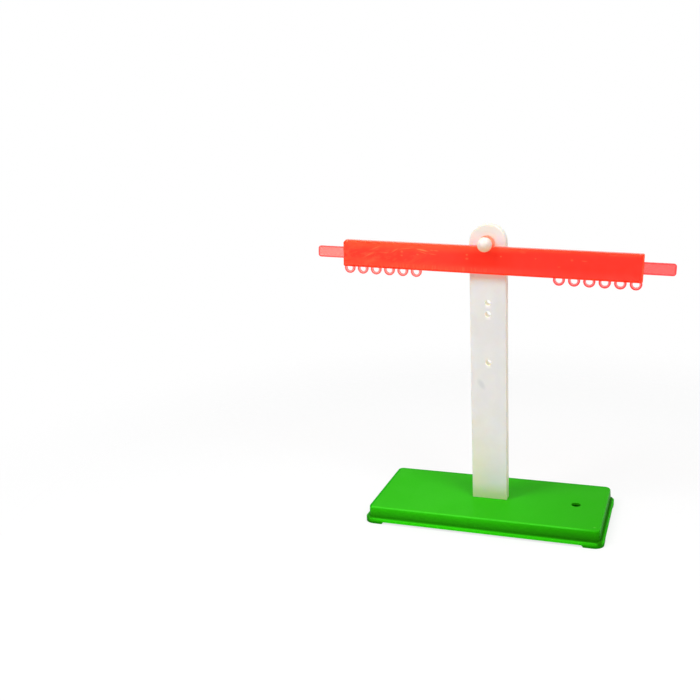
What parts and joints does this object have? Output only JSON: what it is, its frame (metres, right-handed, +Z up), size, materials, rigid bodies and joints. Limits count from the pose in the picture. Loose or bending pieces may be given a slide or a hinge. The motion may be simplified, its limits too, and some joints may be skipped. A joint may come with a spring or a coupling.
{
  "type": "lever ruler and stand",
  "caption": "Classroom lever balance: a translucent ruler with rows of hook rings swings on a ball-headed pin at the top of a flat post set in a rectangular tray base.",
  "frame": {"origin": "on the ground under the middle of the base, on the post's middle plane", "axes": "+X along the base and the ruler to the right, +Y from the front, where the ruler hangs, to the back, +Z up the post"},
  "size_m": [0.2985, 0.0998, 0.2575],
  "materials": {
    "base_green": "injection moulded polystyrene, satin gloss, grass green",
    "post_ivory": "injection moulded, satin, ivory white",
    "ruler_red": "translucent orange red, paler and pink where it is thin",
    "pin_white": "glossy white"
  },
  "bodies": {
    "stand": {"base_shell": "base_green", "post": "post_ivory", "pivot_pin": "pin_white"},
    "ruler": {"lever_ruler": "ruler_red"}
  },
  "joints": [
    {"name": "lever_pivot", "type": "hinge", "parent": "stand", "child": "ruler", "pos_m": [0, -0.0061, 0.2422], "axis": [0, 1, 0], "continuous": true}
  ]
}
